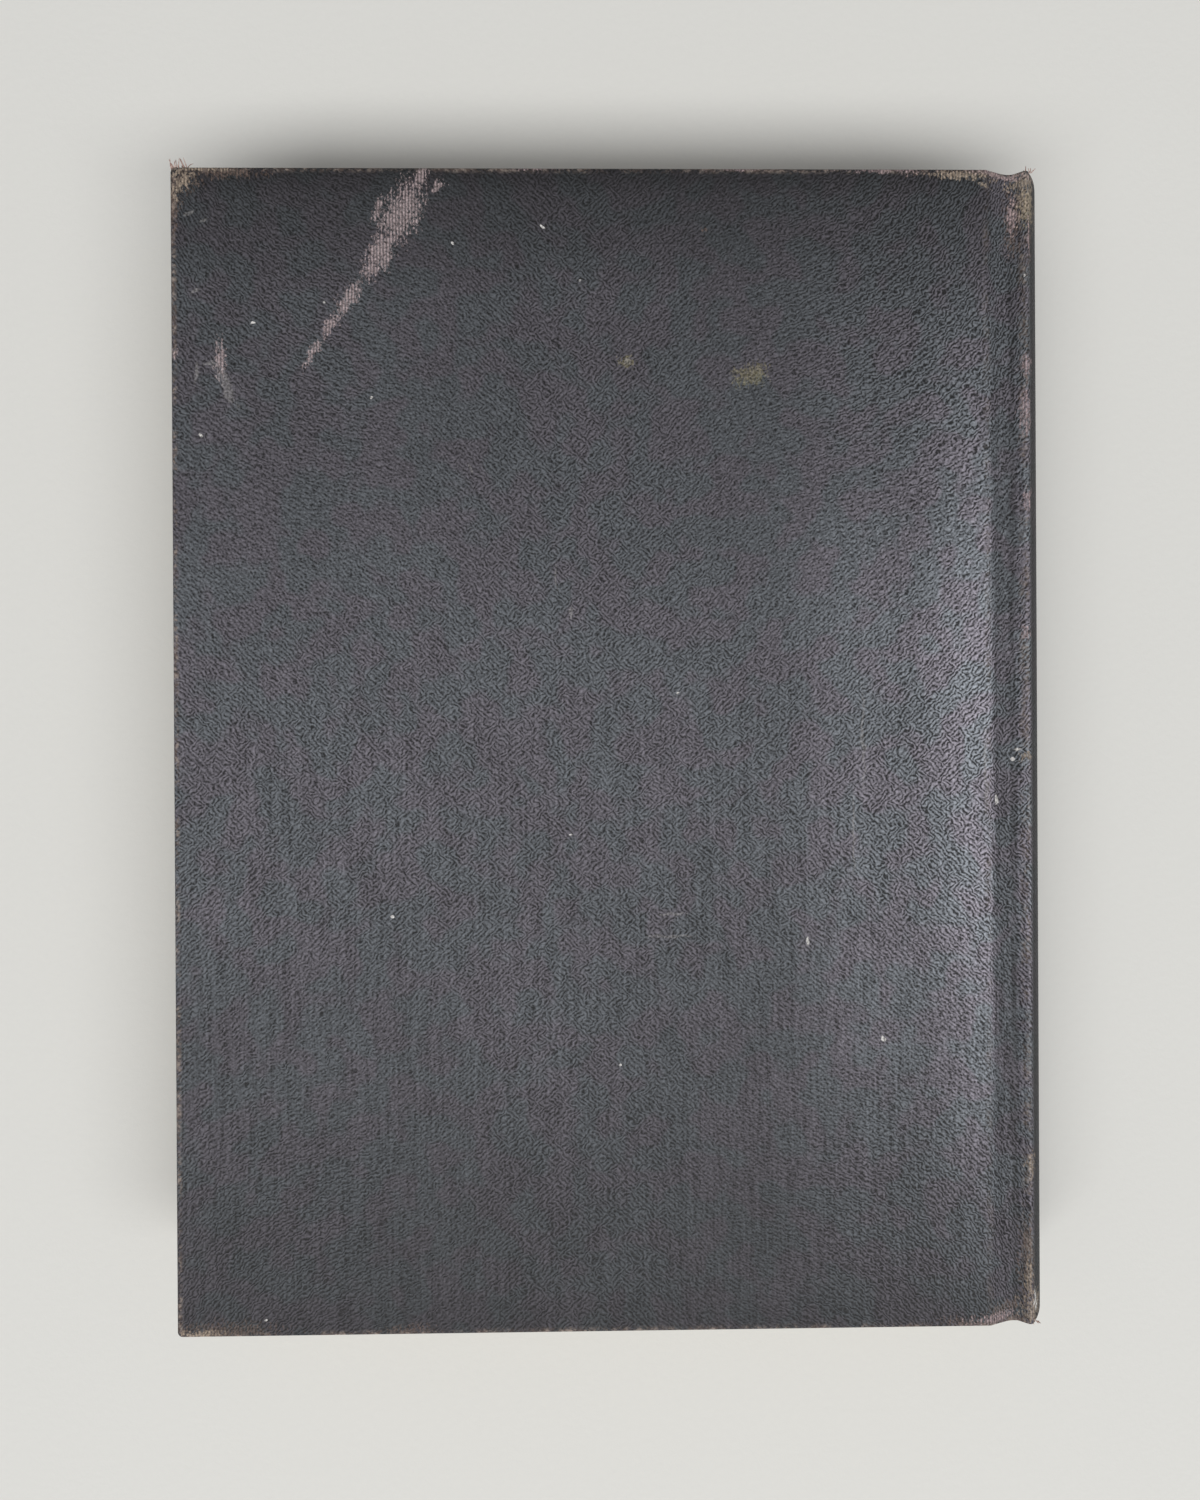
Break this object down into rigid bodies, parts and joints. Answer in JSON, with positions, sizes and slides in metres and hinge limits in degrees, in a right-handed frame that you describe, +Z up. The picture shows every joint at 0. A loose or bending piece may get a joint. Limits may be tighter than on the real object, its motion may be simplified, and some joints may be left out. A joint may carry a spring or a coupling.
{
  "type": "hardback book",
  "caption": "Cloth-bound hardback book lying on its front cover, with hinged board covers, a rounded spine, folded endpapers and a solid block of pages.",
  "frame": {"origin": "centre of the book's outline, level with the outer face of the front cover it lies on", "axes": "+Z up through the closed book from front cover to back cover, +Y towards the head, +X towards the spine"},
  "size_m": [0.1896, 0.25, 0.028],
  "materials": {
    "cover_cloth": "matte",
    "board": "matte",
    "pages": "matte",
    "endpaper": "matte",
    "mull": "matte"
  },
  "bodies": {
    "pages": {"text_block": "pages", "spine_mull": "mull", "spine_strip": "board", "spine_cloth": "cover_cloth", "back_flyleaf": "endpaper", "front_flyleaf": "endpaper"},
    "back_cover": {"back_board": "board", "back_cloth": "cover_cloth", "back_mull_flange": "mull", "back_pastedown": "endpaper"},
    "front_cover": {"front_board": "board", "front_cloth": "cover_cloth", "front_mull_flange": "mull", "front_pastedown": "endpaper"}
  },
  "joints": [
    {"name": "back_cover_hinge", "type": "hinge", "parent": "pages", "child": "back_cover", "pos_m": [0.08705, 0, 0.02515], "axis": [0, 1, 0], "range_deg": [0, 179]},
    {"name": "front_cover_hinge", "type": "hinge", "parent": "pages", "child": "front_cover", "pos_m": [0.08705, 0, 0.00285], "axis": [0, -1, 0], "range_deg": [0, 179]}
  ]
}
